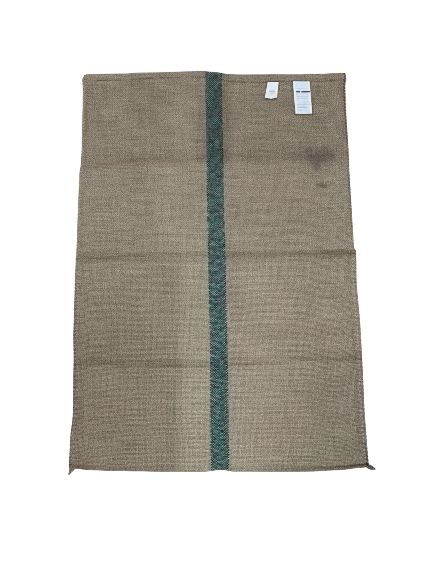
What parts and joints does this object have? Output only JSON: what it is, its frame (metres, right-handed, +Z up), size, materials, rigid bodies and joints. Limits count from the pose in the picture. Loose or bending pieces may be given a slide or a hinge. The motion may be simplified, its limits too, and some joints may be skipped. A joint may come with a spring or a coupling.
{
  "type": "empty jute sack",
  "caption": "Flat empty woven sack lying on its back: folded bottom, oversewn sides, hemmed open mouth, soft lengthwise ridge under a stripe, cross creases and sewn-in labels.",
  "frame": {"origin": "on the surface that the sack lies on, at the middle of its bounding box", "axes": "+Z up from the surface, +Y towards the open mouth, +X to the right of someone who faces the mouth with the front up"},
  "size_m": [0.7192, 1.0136, 0.0146],
  "materials": {
    "sacking": "coarse natural jute sacking, matt and slightly hairy, with one dark green woven stripe",
    "label_cloth": "thin smooth white woven ribbon, faintly bluish",
    "seam_twine": "matt grey-green jute sewing twine"
  },
  "bodies": {
    "root": {"sack_cloth": "sacking", "label_small": "label_cloth", "label_large": "label_cloth", "seam_tail_left": "seam_twine", "seam_tail_right": "seam_twine"}
  },
  "joints": []
}
